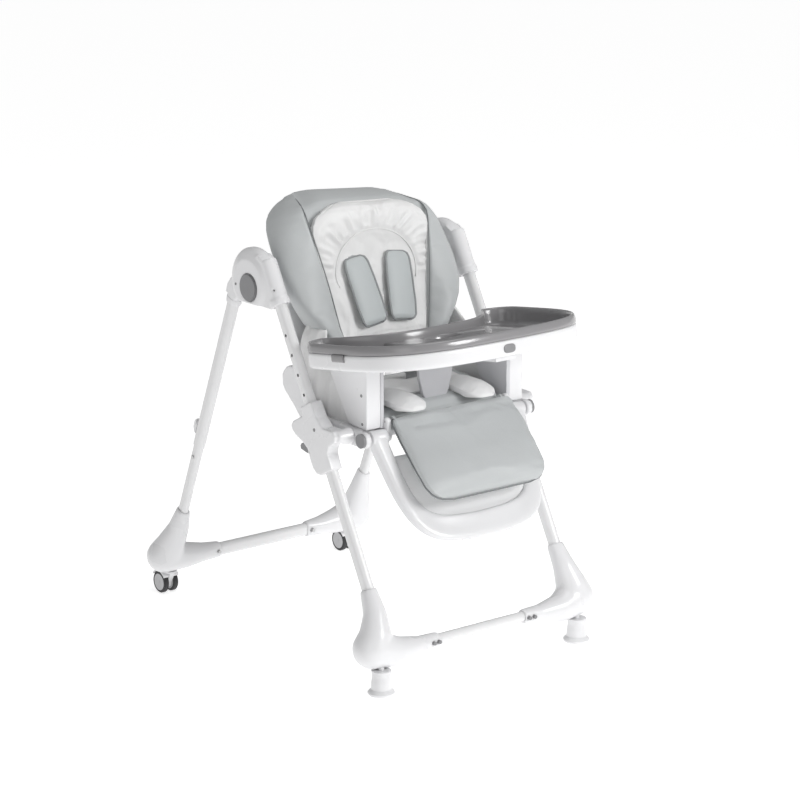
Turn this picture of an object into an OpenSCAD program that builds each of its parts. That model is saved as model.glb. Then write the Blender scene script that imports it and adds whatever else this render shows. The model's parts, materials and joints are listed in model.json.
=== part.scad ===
// Folding baby high chair: A-frame of oval tubes, height-adjustable seat, reclining back,
// swinging leg rest and footrest, sliding tray with a lift-off insert, front feet and rear casters.
// Millimetres. The child faces -Y. The floor is Z = 0 and the origin is the middle of the footprint box.

/* [Frame] */
// Distance between the centres of the front and rear legs across the chair
leg_spacing = 504; // [500:2:508]
// Distance from the front feet to the rear caster wheels
wheelbase = 821; // [800:1:840]
// Height of the fold pivots above the floor
hub_z = 776; // [774:1:778]
// Radius of the domed hub housing
hub_r = 75; // [74:1:77]
// Width of a front leg tube, seen from the side
front_tube_w = 30; // [26:1:32]
// Width of the upper rear leg tube, seen from the side
rear_tube_w = 30; // [28:1:32]
// Thickness of the leg tubes across the chair
tube_t = 22; // [20:1:22]
// Spacing of the seat height holes in the front legs
hole_pitch = 43.5; // [42:0.5:45]
// Number of seat heights
hole_count = 7; // [5:1:7]

/* [Casters and feet] */
// Diameter of the caster wheels
wheel_d = 50; // [44:1:50]
// Width of one wheel of a twin caster
wheel_w = 12; // [9:1:13]
// Height of the front feet up to the boot
foot_h = 52; // [50:1:54]

/* [Seat] */
// Width of the seat frame over its side brackets
seat_w = 444; // [440:1:446]
// Height of the recline pivot above the floor
recline_z = 580; // [576:1:584]
// Lean of the back from upright, in degrees
back_lean = 20.6; // [18:0.2:23]
// Height of the back along its own lean, above the recline pivot
back_h = 390; // [370:2:396]
// Greatest width of the back over its wings
back_w = 444; // [430:2:444]

/* [Tray] */
// Width of the tray
tray_w = 554; // [544:2:556]
// Depth of the tray from its front edge to its rear corners
tray_depth = 355; // [350:1:358]
// Upward tilt of the tray's front edge, in degrees
tray_tilt = 8.5; // [8:0.1:9]

/* [Hidden] */
$fn = 48;

white = "white";
soft_grey = [0.76, 0.78, 0.79];
cream = [0.88, 0.88, 0.87];
dark_grey = [0.52, 0.52, 0.53];
tray_grey = [0.45, 0.45, 0.46];
steel = "silver";
black = [0.1, 0.1, 0.1];

hair = 0.3;                    // gap between faces that slide past each other
run = 0.05;                    // radial clearance of a pin in its hole
leg_x = leg_spacing / 2;
front_y = -wheelbase / 2;      // feet and wheels sit either side of the working origin
rear_y = wheelbase / 2;
centre_shift = 29.8;           // brings the middle of the whole box to Y = 0

// Lines of the legs, as [Y, Z] of a reference point and the lean from upright.
hub = [34, hub_z];             // fold pivot
dome = [38, hub_z + 8];        // middle of the domed housing
front_top = [-52, 749];
front_lean = -28.7;
front_mouth = 620;             // along the leg, from the hub sleeve to the boot
rear_top = [135.5, 693];
rear_lean = 22.2;
rear_splice = 342;
rear_mouth = 520;
first_hole = 64;

recline = [-43, recline_z];
leg_pivot = [-291, 505];
board_pivot = [-291, 536];
seat_in = seat_w / 2;
panel_in = 164;
panel_out = 208;

caster_axle = [rear_y, wheel_d / 2];
swivel_y = rear_y - 18;
boot_bottom = foot_h;

// ---------------------------------------------------------------- placing helpers
module chair() translate([0, centre_shift, 0]) children();
module left() mirror([1, 0, 0]) children();
module both() { children(); mirror([1, 0, 0]) children(); }

// A side-view outline ([Y, Z]) made solid from x0 to x1.
module side(x0, x1) translate([x0, 0, 0]) rotate([90, 0, 90]) linear_extrude(x1 - x0) children();

// A front-view outline ([X, Z]) made solid from y0 back to y1.
module front(y0, y1) translate([0, y1, 0]) rotate([90, 0, 0]) linear_extrude(y1 - y0) children();

// Local frames on the legs: Z runs up the leg, Y to the rear, s is measured down the leg.
module on_front_leg(s = 0)
  translate([leg_x, front_top[0], front_top[1]]) rotate([front_lean, 0, 0]) translate([0, 0, -s])
    children();
module on_rear_leg(s = 0)
  translate([leg_x, rear_top[0], rear_top[1]]) rotate([rear_lean, 0, 0]) translate([0, 0, -s])
    children();

// A slotted-hole outline, w across X and l along Y.
module oval(w, l) {
  square([w, l - w], center = true);
  for (e = [-1, 1]) translate([0, e * (l - w) / 2]) circle(d = w);
}

// A pin or hole along X, at [Y, Z].
module cross(p, d, x0, x1) translate([x0, p[0], p[1]]) rotate([0, 90, 0]) cylinder(d = d, h = x1 - x0);

// ---------------------------------------------------------------- front frame
module front_leg() chair() difference() {
  on_front_leg(front_mouth + 45) linear_extrude(front_mouth + 108) oval(tube_t, front_tube_w);
  on_front_leg(front_mouth + 46) linear_extrude(front_mouth + 111) oval(tube_t - 3, front_tube_w - 3);
  for (i = [0:hole_count - 1])
    on_front_leg(first_hole + i * hole_pitch) rotate([0, 90, 0]) cylinder(d = 7, h = tube_t);
}
module front_leg_left() color(white) left() front_leg();
module front_leg_right() color(white) front_leg();

// A corner fitting: a flowing shell of balls from the leg mouth to the crossbar mouth.
module boot_link(a, b) hull() {
  translate([a[0], a[1], a[2]]) sphere(a[3], $fn = 28);
  translate([b[0], b[1], b[2]]) sphere(b[3], $fn = 28);
}
module boot_body(balls, bottom) difference() {
  for (i = [0:len(balls) - 2]) boot_link(balls[i], balls[i + 1]);
  translate([0, -500, bottom - 100]) cube([400, 1000, 100]);
}
front_balls = [[256, -378, 160, 25], [266, -392, 118, 35], [274, -392, 94, 42],
               [222, -404, 82, 31], [165, -405, 82, 20]];
module front_boot() chair() difference() {
  union() {
    boot_body(front_balls, boot_bottom);
    hull() {
      on_front_leg(front_mouth) linear_extrude(3) oval(tube_t + 10, front_tube_w + 8, $fn = 32);
      translate([256, -378, 160]) sphere(25, $fn = 28);
    }
    hull() {
      translate([165, -405, 82]) sphere(20, $fn = 28);
      translate([113, -405, 85]) rotate([0, 90, 0]) cylinder(d = 32, h = 3, $fn = 32);
    }
  }
  on_front_leg(front_mouth + 45) linear_extrude(80) oval(tube_t, front_tube_w);
  translate([112, -405, 85]) rotate([0, 90, 0]) cylinder(d = 22, h = 50);
  for (x = [122, 136]) translate([x, -405, 85]) rotate([90, 0, 0]) cylinder(d = 8.4, h = 30);
  translate([foot_x, front_y, 40]) cylinder(d = 12, h = 32);
}
foot_x = 265;
module front_boot_left() color(white) left() front_boot();
module front_boot_right() color(white) front_boot();

module front_crossbar() color(white) chair() difference() {
  translate([-162, -405, 85]) rotate([0, 90, 0]) cylinder(d = 22, h = 324);
  translate([-163, -405, 85]) rotate([0, 90, 0]) cylinder(d = 19, h = 326);
}

// A rubber-soled foot: flared base, tapering column, round neck ring and a stem into the boot.
module foot() rotate_extrude() polygon([
  [0, 0], [27, 0], [28.5, 3], [28.5, 6], [26, 9], [22, 13], [21.5, 26], [19.5, 40], [19.5, 46],
  [21, 47], [21, boot_bottom], [6, boot_bottom], [6, boot_bottom + 20], [0, boot_bottom + 20]]);
module front_feet() color(white) chair() both() translate([foot_x, front_y, 0]) foot();

// ---------------------------------------------------------------- hubs
hub_half = 23;                 // half the thickness of a housing at its middle
slot_half = 14;                // half the slot that the eye turns in
belly_z = 741;                 // straight lower edge of the housing
cap_d = 59;

// The domed body, turned about the axis across the chair: [radius, offset from its mid-plane].
module hub_dome() translate([leg_x, dome[0], dome[1]]) rotate([0, 90, 0]) rotate_extrude($fn = 96)
  polygon([[0, -hub_half], [hub_r - 24, -hub_half], [hub_r - 12, -hub_half + 5], [hub_r - 4, -13],
           [hub_r, -6], [hub_r, 6], [hub_r - 4, 13], [hub_r - 12, hub_half - 5],
           [hub_r - 24, hub_half], [0, hub_half]]);
module hub_sleeve() on_front_leg(0) {
  linear_extrude(100) oval(36, 42);
  linear_extrude(14) oval(40, 46);
}
// Where the eye and its sleeve turn, seen from the side.
module hub_sweep() {
  translate(hub) circle(41);
  intersection() {
    translate(hub) circle(68);
    polygon([hub, hub + 200 * [cos(118), sin(118)], [200, 1000], [200, 700], [20, 700]]);
  }
  intersection() {
    translate(hub) circle(110);
    polygon([hub, [200, hub_z + 24], [200, 600], [0, 600]]);
  }
}
module hub_housing() chair() difference() {
  union() {
    intersection() {
      hub_dome();
      translate([200, -100, belly_z]) cube([100, 250, 200]);
    }
    hub_sleeve();
    side(leg_x - 18, leg_x + 18)
      polygon([[-56, 754], [-36, 792], [-8, 842], [10, 850], [40, 820], [20, belly_z], [-40, belly_z]]);
  }
  side(leg_x - slot_half, leg_x + slot_half) hub_sweep();
  on_front_leg(1) linear_extrude(66) oval(tube_t, front_tube_w);
  cross(hub, cap_d + 1, leg_x + hub_half - 6, leg_x + hub_half + 1);
  cross(hub, 12, leg_x - hub_half - 1, leg_x + hub_half - 1);
  cross([-47, 784], 7, leg_x + 12, leg_x + 30);
}
module hub_housing_left() color(white) left() hub_housing();
module hub_housing_right() color(white) hub_housing();
module hub_pins() color(steel) chair() both()
  cross(hub, 12, leg_x - hub_half + 0.5, leg_x + hub_half - 7);

// The round grey button on each hub: both are pressed in to fold the chair.
module fold_button() chair() {
  cross(hub, cap_d, leg_x + hub_half - 1.5, leg_x + hub_half + 1);
  cross(hub, cap_d - 4, leg_x + hub_half + 1, leg_x + hub_half + 3);
}
module fold_button_left() color(dark_grey) left() fold_button();
module fold_button_right() color(dark_grey) fold_button();

// The eye on top of each rear leg, turning on the hub pin between the housing's cheeks.
module hub_eye() chair() difference() {
  union() {
    side(leg_x - slot_half + hair, leg_x + slot_half - hair) {
      intersection() {
        translate(hub) circle(39);
        translate([-70, belly_z + 1]) square([200, 130]);
      }
      intersection() {
        translate(hub) circle(66);
        polygon([hub, hub + 200 * [cos(104), sin(104)], [200, 1000], [200, belly_z + 1],
                 [30, belly_z + 1]]);
      }
    }
    side(leg_x - slot_half + hair, leg_x + slot_half - hair)
      polygon([[60, 742.3], [96, 742.3], [99, 737], [131, 750], [125, 768], [112, 783], [90, 783],
               [60, 770]]);
    on_rear_leg(-35) linear_extrude(20) oval(27, 36);
    on_rear_leg(-39) linear_extrude(9) oval(29, 38);
  }
  cross(hub, 12 + 2 * run, leg_x - 20, leg_x + 20);
  on_rear_leg(-34) linear_extrude(16) oval(tube_t, rear_tube_w);
}
module hub_eye_left() color(white) left() hub_eye();
module hub_eye_right() color(white) hub_eye();

// ---------------------------------------------------------------- rear frame
lower_w = rear_tube_w - 4;
module rear_leg_upper() chair() difference() {
  on_rear_leg(rear_splice) linear_extrude(rear_splice + 49.7) oval(tube_t, rear_tube_w);
  on_rear_leg(rear_splice + 1) linear_extrude(rear_splice + 52) oval(tube_t - 4, lower_w);
}
module rear_leg_upper_left() color(white) left() rear_leg_upper();
module rear_leg_upper_right() color(white) rear_leg_upper();
module rear_leg_lower() chair() difference() {
  on_rear_leg(rear_mouth + 45) linear_extrude(rear_mouth - rear_splice + 105) oval(tube_t - 4, lower_w);
  on_rear_leg(rear_mouth + 46) linear_extrude(rear_mouth - rear_splice + 107)
    oval(tube_t - 7, lower_w - 3);
}
module rear_leg_lower_left() color(white) left() rear_leg_lower();
module rear_leg_lower_right() color(white) rear_leg_lower();

rear_balls = [[254, 352, 164, 24], [262, 378, 116, 34], [268, 392, 92, 39],
              [214, 390, 84, 30], [168, 388, 82, 22]];
module rear_boot() chair() difference() {
  union() {
    boot_body(rear_balls, 55);
    hull() {
      on_rear_leg(rear_mouth) linear_extrude(3) oval(tube_t + 5, lower_w + 7, $fn = 32);
      translate([254, 352, 164]) sphere(24, $fn = 28);
    }
    hull() {
      translate([168, 388, 82]) sphere(22, $fn = 28);
      translate([120, 388, 80]) rotate([90, 0, 90]) linear_extrude(3) oval(28, 38, $fn = 32);
    }
  }
  on_rear_leg(rear_mouth + 45) linear_extrude(80) oval(tube_t - 4, lower_w);
  translate([119, 388, 80]) rotate([90, 0, 90]) linear_extrude(50) oval(22, 30);
  translate([132, 388, 80]) rotate([90, 0, 0]) cylinder(d = 7.4, h = 30);
  translate([leg_x, swivel_y, 40]) cylinder(d = 10 + 2 * run, h = 46);
}
module rear_boot_left() color(white) left() rear_boot();
module rear_boot_right() color(white) rear_boot();
module rear_crossbar() color(white) chair() translate([-168, 388, 80]) rotate([90, 0, 90])
  linear_extrude(336) difference() { oval(22, 30); oval(19, 27); }

// Small hooks behind the rear legs that hold the tray when it is off the chair.
module tray_hooks() color(white) chair() both() on_rear_leg(rear_splice - 42) {
  translate([-7, rear_tube_w / 2 - 2, -18]) rotate([90, 0, 90]) linear_extrude(14)
    polygon([[2, 0], [7, 2], [13, 12], [13, 28], [9, 34], [7, 28], [6, 19], [2, 32]]);
}

// Sprung buttons that hold the tubes in the boots.
module front_snap_buttons() color(dark_grey) chair() both() {
  for (x = [122, 136]) translate([x, -417, 85]) rotate([90, 0, 0]) cylinder(d = 8, h = 9);
}
module rear_snap_buttons() color(steel) chair() both() {
  on_rear_leg(rear_splice + 30) translate([tube_t / 2 - 1.9, 0, 0]) rotate([0, 90, 0])
    cylinder(d = 8, h = 3);
  translate([132, 372, 80]) rotate([90, 0, 0]) cylinder(d = 7, h = 6);
}

// ---------------------------------------------------------------- casters
module caster_housing() chair() difference() {
  union() {
    translate([leg_x, swivel_y, 50.6]) cylinder(d = 32, h = 3.4);
    translate([leg_x, swivel_y, 48]) cylinder(d = 10, h = 36);
    side(leg_x - 6, leg_x + 6) {
      translate(caster_axle) circle(15);
      polygon([[swivel_y - 12, 52], [rear_y + 14, 52], [rear_y + 14, 22], [rear_y - 14, 22]]);
    }
    side(leg_x - 20, leg_x + 20) difference() {
      intersection() {
        translate(caster_axle) circle(wheel_d / 2 + 4);
        translate([rear_y - 22, wheel_d / 2 + 13]) square([44, 14]);
      }
      translate(caster_axle) circle(wheel_d / 2 + 1.5);
    }
  }
  cross(caster_axle, 6 + 2 * run, leg_x - 10, leg_x + 10);
}
module caster_housing_left() color(white) left() caster_housing();
module caster_housing_right() color(white) caster_housing();

rim_r = wheel_d / 2 - 6;
module caster_hubs() chair() {
  cross(caster_axle, 6, leg_x - 19, leg_x + 19);
  for (x0 = [leg_x - 6.5 - wheel_w, leg_x + 6.5])
    difference() {
      cross(caster_axle, 2 * rim_r, x0, x0 + wheel_w);
      cross(caster_axle, 6, x0 - 1, x0 + wheel_w + 1);
    }
}
module caster_hubs_left() color(soft_grey) left() caster_hubs();
module caster_hubs_right() color(soft_grey) caster_hubs();
module caster_tyres() chair() for (x0 = [leg_x - 6.5 - wheel_w, leg_x + 6.5])
  translate([x0, caster_axle[0], caster_axle[1]]) rotate([0, 90, 0]) rotate_extrude()
    polygon([[rim_r, 0], [wheel_d / 2 - 2, 0], [wheel_d / 2, 2], [wheel_d / 2, wheel_w - 2],
             [wheel_d / 2 - 2, wheel_w], [rim_r, wheel_w]]);
module caster_tyres_left() color(black) left() caster_tyres();
module caster_tyres_right() color(black) caster_tyres();

// ---------------------------------------------------------------- height sliders
// Outlines in the leg's own frame: [rearward, up the leg], zero at the hub sleeve.
lever_pin = [38, -308];
module slider_outline() polygon([
  [-20, -214], [20, -214], [22, -232], [62, -232], [72, -238], [74, -248], [67, -262], [50, -282],
  [40, -300], [43, -322], [42, -342], [36, -356], [20, -364], [-20, -364], [-22, -330],
  [-34, -318], [-58, -316], [-66, -306], [-66, -294], [-52, -286], [-34, -276], [-24, -252]]);
module slider() chair() difference() {
  union() {
    on_front_leg(0) rotate([90, 0, 90]) translate([0, 0, -15]) linear_extrude(30) slider_outline();
    hull() {
      on_front_leg(0) rotate([90, 0, 90]) translate([0, 0, -15]) linear_extrude(22)
        translate([-60, -306]) circle(12, $fn = 32);
      side(seat_in, seat_in + 6) translate([-250, 508]) circle(18, $fn = 32);
    }
  }
  on_front_leg(380) linear_extrude(180) oval(tube_t + 2 * hair, front_tube_w + 2 * hair);
  on_front_leg(0) rotate([90, 0, 90]) translate([0, 0, -7]) linear_extrude(14) polygon([
    [26, -298], [90, -250], [90, -330], [26, -330]]);
  on_front_leg(0) translate([-16, lever_pin[0], lever_pin[1]]) rotate([0, 90, 0]) cylinder(d = 5, h = 32);
}
module slider_left() color(white) left() slider();
module slider_right() color(white) slider();

// The trigger under each slider, squeezed up to free the seat height.
module slider_lever() chair() on_front_leg(0) difference() {
  rotate([90, 0, 90]) translate([0, 0, -6]) linear_extrude(12) union() {
    translate(lever_pin) circle(7);
    polygon([[31, -311], [35, -299], [66, -281], [73, -284], [74, -291], [60, -303], [42, -315]]);
  }
  translate([-8, lever_pin[0], lever_pin[1]]) rotate([0, 90, 0]) cylinder(d = 5 + 2 * run, h = 16);
}
module slider_lever_left() color(dark_grey) left() slider_lever();
module slider_lever_right() color(dark_grey) slider_lever();
module lever_pins() color(steel) chair() both() on_front_leg(0)
  translate([-15, lever_pin[0], lever_pin[1]]) rotate([0, 90, 0]) cylinder(d = 5, h = 30);

// ---------------------------------------------------------------- seat
// Side bracket from the leg rest pivot back to the recline pivot.
module bracket_outline() {
  translate(recline) circle(34);
  translate(leg_pivot) circle(17);
  polygon([[-300, 519], [-291, 488], [-200, 486], [-80, 502], [-22, 555], [-60, 609], [-90, 572],
           [-150, 527]]);
}
// Inner lug of the two leg rest pivots.
module lug_outline() {
  translate(leg_pivot) circle(12);
  translate(board_pivot) circle(9);
  translate([-300, 505]) square([20, 31]);
  translate([-291, 500]) square([14, 23]);
}
lug_x = [152, 163.7];
module seat_frame() color(white) chair() difference() {
  union() {
    both() side(panel_out, seat_in) bracket_outline();
    translate([-panel_out, -274, 508]) cube([2 * panel_out, 214, 15]);
    translate([-lug_x[1], -283, 500]) cube([2 * lug_x[1], 20, 23]);
    both() side(lug_x[0], lug_x[1]) lug_outline();
  }
  both() cross(recline, 10, 200, seat_in - 4);
  both() cross(leg_pivot, 12, 150, seat_in + 1);
  both() cross(board_pivot, 5, 150, lug_x[1] + 1);
  translate([0.5 - lug_x[0], -295, 515]) cube([2 * lug_x[0] - 1, 24, 30]);
}

// Upright side panels that carry the tray.
module panel_outline() polygon([[-288, 523.3], [-244, 523.3], [-224, 528], [-163, 622], [-163, 639.5],
                                [-288, 658]]);
module side_panel() chair() difference() {
  side(172, panel_out) panel_outline();
  for (p = [[-258, 535], [-256, 607]]) cross(p, 6, panel_out - 3, panel_out + 1);
}
module side_panel_left() color(white) left() side_panel();
module side_panel_right() color(white) side_panel();
module panel_liners() color([0.85, 0.85, 0.86]) chair() both() side(panel_in, 172) panel_outline();

// The cushion and its liner are notched so the tray's divider can slide forward between them.
module divider_notch() translate([-50, -290, 542]) cube([100, 58, 40]);
module seat_cushion() color(soft_grey) chair() difference() {
  union() {
    translate([-162, -278, 523.3]) cube([324, 110, 34]);
    translate([-172, -168, 523.3]) cube([344, 100, 34]);
  }
  divider_notch();
}
module side_bolster() chair() hull() {
  for (p = [[-148, 536], [-90, 536], [-92, 615], [-140, 615]])
    translate([190, p[0], p[1]]) sphere(12, $fn = 24);
}
module side_bolster_left() color(cream) left() side_bolster();
module side_bolster_right() color(cream) side_bolster();

// Leg rest: one pivot pin and cap each side, a footrest hoop and a padded calf board.
module leg_pivot_pins() color(steel) chair() both() {
  cross(leg_pivot, 12, lug_x[0], seat_in);
  cross(board_pivot, 5, 139, lug_x[1]);
}
module leg_pivot_caps() color(dark_grey) chair() both() {
  cross(leg_pivot, 30, seat_in, seat_in + 6);
}
// The footrest hoop: each arm runs through these discs: [Y, Z, radius, X from, X to].
arm_discs = [[leg_pivot[0], leg_pivot[1], 15, 166, 205.5], [-344, 412, 18, 158, 192],
             [-388, 352, 18, 132, 172], [-402, 319, 17, 96, 130]];
module arm_disc(a) side(a[3], a[4]) translate([a[0], a[1]]) circle(a[2], $fn = 32);
module footrest() color(white) chair() difference() {
  union() {
    both() for (i = [0:2]) hull() {
      arm_disc(arm_discs[i]);
      arm_disc(arm_discs[i + 1]);
    }
    side(-112, 112) polygon([[-400, 360], [-390, 356], [-382, 332], [-391, 302], [-409, 293],
                             [-427, 296], [-431, 304], [-417, 311], [-405, 326], [-400, 342]]);
    // the dished panel that closes the hoop behind the leg pad
    hull() {
      side(-164, 164) translate([-305, 459]) circle(2.5, $fn = 16);
      side(-142, 142) translate([-350, 393]) circle(2.5, $fn = 16);
      side(-112, 112) translate([-392, 350]) circle(2.5, $fn = 16);
    }
  }
  both() cross(leg_pivot, 12 + 2 * run, 160, 210);
}
// The board and pad swing on their own pins at the front edge of the seat.
module calf_frame() translate([0, board_pivot[0], board_pivot[1]]) rotate([-45, 0, 0]) children();
module calf_board() color(soft_grey) chair() difference() {
  union() {
    calf_frame() translate([-138, -2, -192]) cube([276, 6, 182]);
    both() side(140, 146) translate(board_pivot) circle(9);
    both() calf_frame() translate([138, -2, -60]) cube([8, 6, 60]);
  }
  both() cross(board_pivot, 5 + 2 * run, 130, 150);
}
module calf_pad() color(soft_grey) chair() calf_frame() front(-22, -2.2) union() {
  translate([-148, -176]) square([296, 166]);
  for (x = [-126, 126]) translate([x, -180]) circle(22);
  translate([-126, -202]) square([252, 60]);
}

// ---------------------------------------------------------------- back
// The back's own frame: Z up the back from the recline pivot, Y to the rear.
module on_back() translate([0, recline[0], recline[1]]) rotate([-back_lean, 0, 0]) children();
shoulder_h = 240;              // where the back is widest
waist = 168;                   // half-width at the recline pivot
function back_half(w) = w < shoulder_h
  ? waist + (back_w / 2 - waist) * sin(90 * max(0, w) / shoulder_h)
  : back_w / 2 * pow(max(0, 1 - pow((w - shoulder_h) / (back_h - shoulder_h), 3)), 1 / 3);
back_steps = 28;
back_right = [for (i = [0:back_steps]) let (w = -18 + (back_h + 18) * sin(90 * i / back_steps))
  [back_half(w), w]];
module back_outline() polygon(concat(back_right, [for (i = [back_steps:-1:0])
  [-back_right[i][0], back_right[i][1]]]));

module recline_pins() color(steel) chair() both() cross(recline, 10, 184, seat_in - 4);
module back_shell() color(white) chair() difference() {
  union() {
    on_back() front(-2, 5) intersection() {
      back_outline();
      union() { translate([-190, 20]) square([380, 350]); }
    }
    both() side(188, 206) translate(recline) circle(22);
    both() on_back() translate([188, -12, -4]) cube([14, 17, 90]);
  }
  both() cross(recline, 10 + 2 * run, 180, 210);
}
// A side wing bulging forward: [across, forward, up the back, radius] of the balls it is drawn over.
wing_balls = [[198, 16, 338, 14], [204, 44, 275, 15], [203, 62, 205, 16], [190, 72, 130, 16],
              [150, 66, 335, 16], [146, 68, 240, 18], [140, 62, 150, 18], [136, 54, 96, 16]];
module wing() on_back() hull() for (b = wing_balls)
  translate([b[0], -b[1], b[2]]) sphere(b[3], $fn = 24);
module back_cushion() color(soft_grey) chair() difference() {
  union() {
    on_back() front(-45, -2.2) intersection() {
      back_outline();
      translate([-250, 8]) square([500, 500]);
    }
    both() wing();
  }
  both() on_back() translate([187.6, -12.4, -6]) cube([30, 20, 92.5]);
}
module liner_outline() {
  translate([-108, 40]) square([216, 270]);
  translate([-66, 290]) square([132, 72]);
  for (x = [-66, 66]) translate([x, 300]) circle(60);
}
module liner_back() color(cream) chair() {
  on_back() front(-61, -45.2) liner_outline();
  on_back() hull() for (x = [-76, 76]) translate([x, -74, 322]) sphere(24, $fn = 28);
}
module liner_seat() color(cream) chair() difference() {
  translate([-120, -276, 557.3]) cube([240, 170, 15]);
  divider_notch();
}
module shoulder_pads() color(soft_grey) chair() both() on_back() hull() {
  translate([32, -79, 92]) cube([44, 16, 2]);
  translate([26, -79, 104]) cube([56, 16, 120]);
  translate([34, -79, 234]) cube([40, 16, 4]);
}
module crotch_strap() color(soft_grey) chair() translate([-15, -168, 572.3]) cube([30, 3, 22]);
module buckle() color(dark_grey) chair() side(-22, 22)
  polygon([[-176, 595], [-158, 595], [-152, 628], [-160, 634], [-172, 634], [-178, 620]]);
// Squeeze handle behind the back that frees the recline.
module recline_handle() color(dark_grey) chair() on_back() difference() {
  front(5.3, 24) union() {
    translate([-36, 250]) square([72, 40]);
    translate([-46, 262]) square([92, 22]);
  }
  front(4, 20) translate([-30, 240]) square([60, 34]);
}

// ---------------------------------------------------------------- tray
tray_front = -499;
tray_base_z = 637.5;           // underside at the rear corners
tray_wall = 34;
insert_h = 20;
tray_half = tray_w / 2;
tray_rear = tray_front + tray_depth;
module on_tray() translate([0, tray_rear, tray_base_z]) rotate([-tray_tilt, 0, 0])
  translate([0, -tray_rear, 0]) children();

// Half of the tray outline, pulled in by a margin: superellipse front, round corner, swept recess.
front_steps = 22;
front_power = 3.2;
rear_steps = 14;
tray_turn = -243;              // where the front curve ends and the straight side begins
corner_r = 60;
function front_pt(a, m) = [
  (tray_half - m) * pow(sin(a), 2 / front_power),
  tray_turn - (tray_turn - tray_front - m) * pow(cos(a), 2 / front_power)];
function corner_pt(a, m) = [
  tray_half - corner_r + (corner_r - m) * cos(a), tray_rear - corner_r + (corner_r - m) * sin(a)];
function recess_y(x) = -262 + 118 * pow(x / 214, 3);
function half_tray(m) = concat(
  [for (i = [0:front_steps]) front_pt(90 * i / front_steps, m)],
  [for (i = [0:8]) corner_pt(90 * i / 8, m)],
  [for (i = [rear_steps:-1:0]) let (x = (tray_half - corner_r - 2) * i / rear_steps)
    [x, min(tray_rear, recess_y(x)) - m]]);
module tray_outline(m = 0) {
  half = half_tray(m);
  polygon(concat(half, [for (i = [len(half) - 2:-1:1]) [-half[i][0], half[i][1]]]));
}
module tray_base() color(white) chair() on_tray() {
  difference() {
    union() {
      linear_extrude(tray_wall - 3) tray_outline();
      translate([0, 0, tray_wall - 3]) linear_extrude(3) tray_outline(2);
    }
    translate([0, 0, 6]) linear_extrude(tray_wall) tray_outline(4);
  }
}
// The lift-off insert: a raised rim, a sunken well and two cup rings.
well_in = 26;
module tray_insert() color(tray_grey) chair() on_tray() {
  difference() {
    translate([0, 0, 6.3]) linear_extrude(tray_wall - 6.3 + insert_h - 3) tray_outline(4.3);
    translate([0, 0, 9.3]) linear_extrude(tray_wall - 12) tray_outline(8);
    translate([0, 0, tray_wall - 16]) linear_extrude(80) tray_outline(well_in);
  }
  translate([0, 0, tray_wall + 0.3]) linear_extrude(insert_h - 3) difference() {
    tray_outline(0);
    tray_outline(5);
  }
  translate([0, 0, tray_wall + insert_h - 3]) linear_extrude(3) difference() {
    tray_outline(3);
    tray_outline(well_in - 4);
  }
}
module tray_latch() color(white) chair() on_tray() translate([-26, tray_front + 14, -8.5])
  cube([52, 40, 8]);
module crotch_divider() color([0.7, 0.7, 0.71]) chair() front(-254, -244) union() {
  polygon([[-47, 652], [-44, 600], [-34, 566], [34, 566], [44, 600], [47, 652]]);
  intersection() { translate([0, 580]) circle(36); translate([-40, 545]) square([80, 30]); }
}

// ---------------------------------------------------------------- draw
front_leg_left();
front_leg_right();
front_boot_left();
front_boot_right();
front_crossbar();
front_feet();
hub_housing_left();
hub_housing_right();
hub_pins();
fold_button_left();
fold_button_right();
hub_eye_left();
hub_eye_right();
rear_leg_upper_left();
rear_leg_upper_right();
rear_leg_lower_left();
rear_leg_lower_right();
rear_boot_left();
rear_boot_right();
rear_crossbar();
tray_hooks();
front_snap_buttons();
rear_snap_buttons();
caster_housing_left();
caster_housing_right();
caster_hubs_left();
caster_hubs_right();
caster_tyres_left();
caster_tyres_right();
slider_left();
slider_right();
slider_lever_left();
slider_lever_right();
lever_pins();
seat_frame();
side_panel_left();
side_panel_right();
panel_liners();
seat_cushion();
side_bolster_left();
side_bolster_right();
leg_pivot_pins();
leg_pivot_caps();
footrest();
calf_board();
calf_pad();
recline_pins();
back_shell();
back_cushion();
liner_back();
liner_seat();
shoulder_pads();
crotch_strap();
buckle();
recline_handle();
tray_base();
tray_insert();
tray_latch();
crotch_divider();
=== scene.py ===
"""Looks of the folding baby high chair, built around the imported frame. Metres, Z up, the child faces -Y."""

import json
import math

import bmesh
import bpy
import numpy as np
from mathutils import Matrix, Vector, noise
from mathutils.bvhtree import BVHTree

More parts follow.
